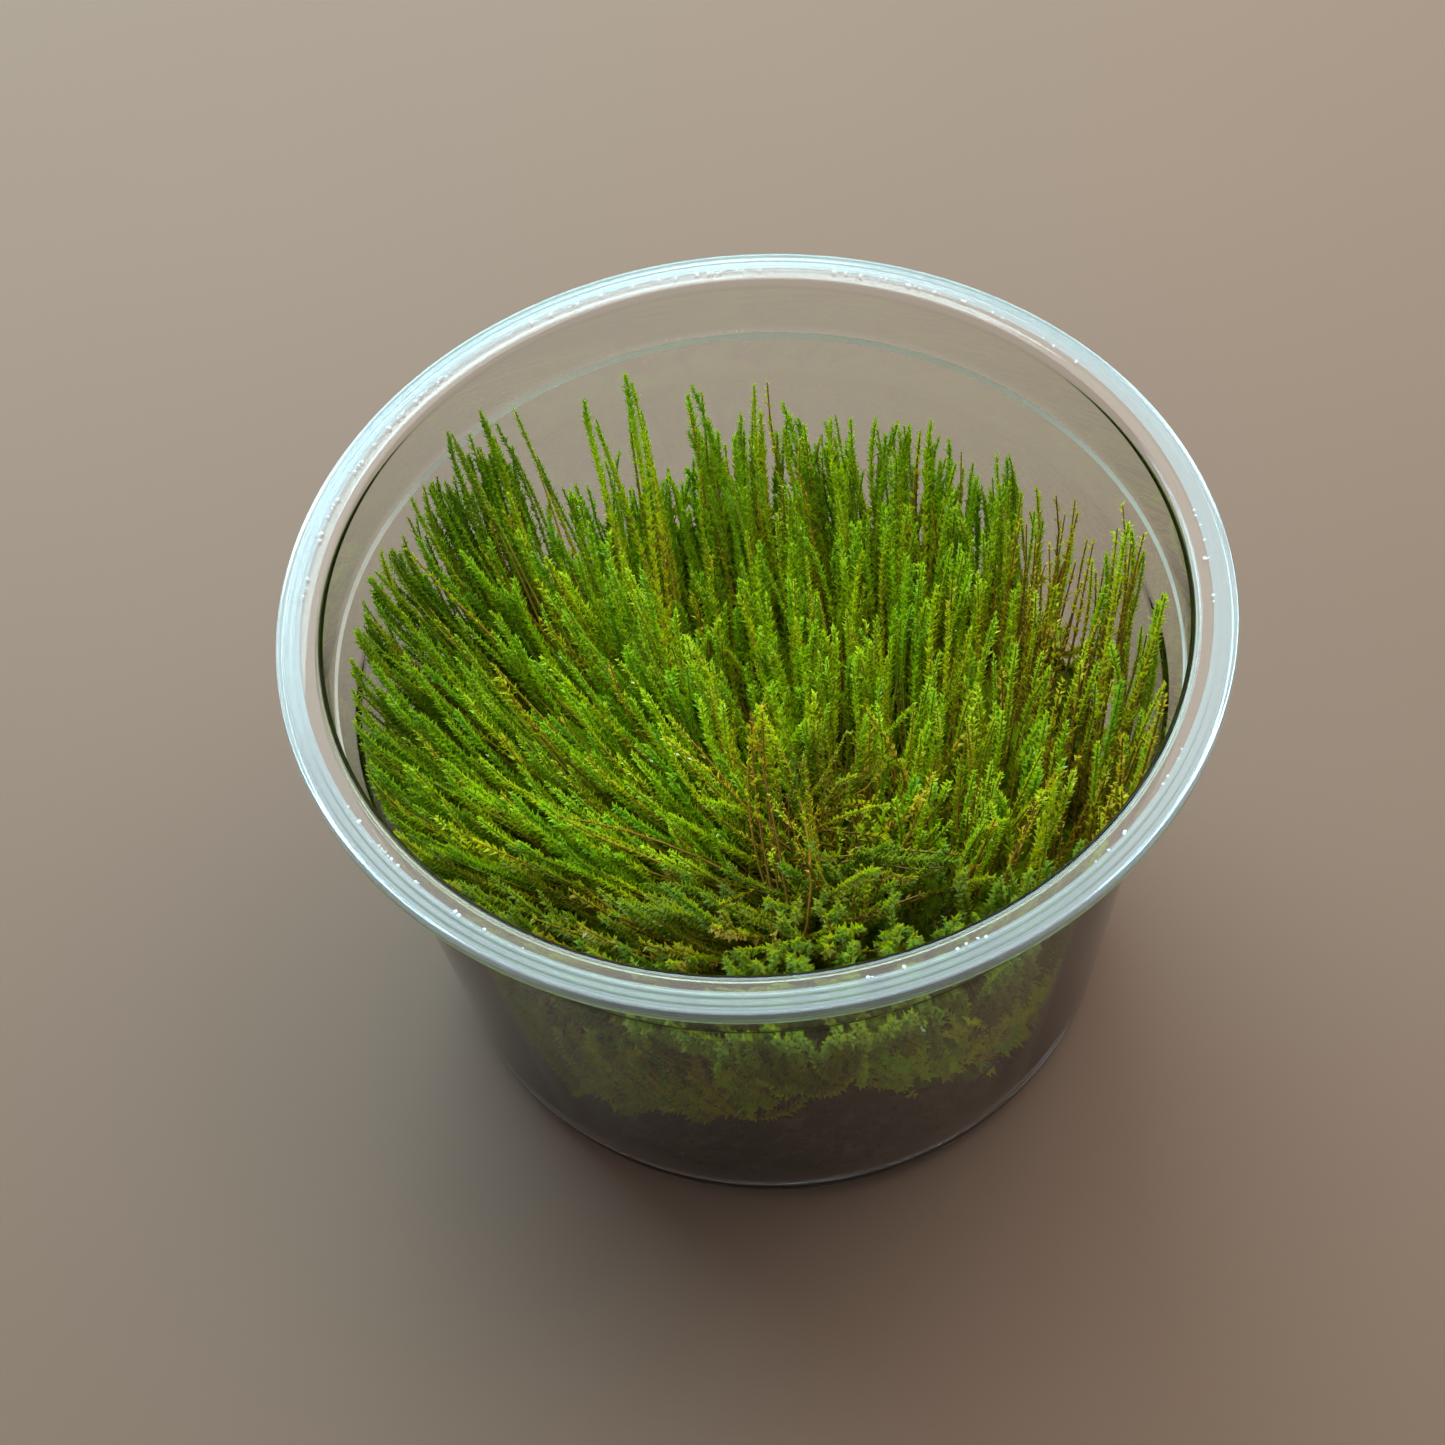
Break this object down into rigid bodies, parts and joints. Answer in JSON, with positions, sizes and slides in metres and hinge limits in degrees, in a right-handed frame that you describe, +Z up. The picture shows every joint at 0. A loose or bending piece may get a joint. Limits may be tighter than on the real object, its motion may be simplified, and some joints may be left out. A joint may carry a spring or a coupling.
{
  "type": "moss clump in a clear cup",
  "caption": "Clump of leafy moss shoots fanning out from a parting, on dark damp soil, in a round clear plastic cup with a ridged rim.",
  "frame": {"origin": "centre of the cup's foot ring, on the surface that the cup stands on", "axes": "+Z up through the cup's mouth, -Y towards the viewer of the picture, where the moss is lowest, +X to the viewer's right, the olive bank's side"},
  "size_m": [0.08, 0.08, 0.05],
  "materials": {
    "cup": "clear, glossy, slightly bluish moulded plastic",
    "soil": "dark, damp, crumbly soil",
    "old_moss": "brown-green tangle of old stems",
    "moss_left": "soft leafy shoots, vivid green",
    "moss_back": "soft leafy shoots, fresh yellow-green",
    "moss_right": "soft leafy shoots, olive",
    "moss_front": "soft leafy shoots, deep green"
  },
  "bodies": {
    "root": {"cup": "cup", "substrate": "soil", "moss_mat": "old_moss", "tuft_left": "moss_left", "tuft_back": "moss_back", "tuft_right": "moss_right", "tuft_front": "moss_front"}
  },
  "joints": []
}
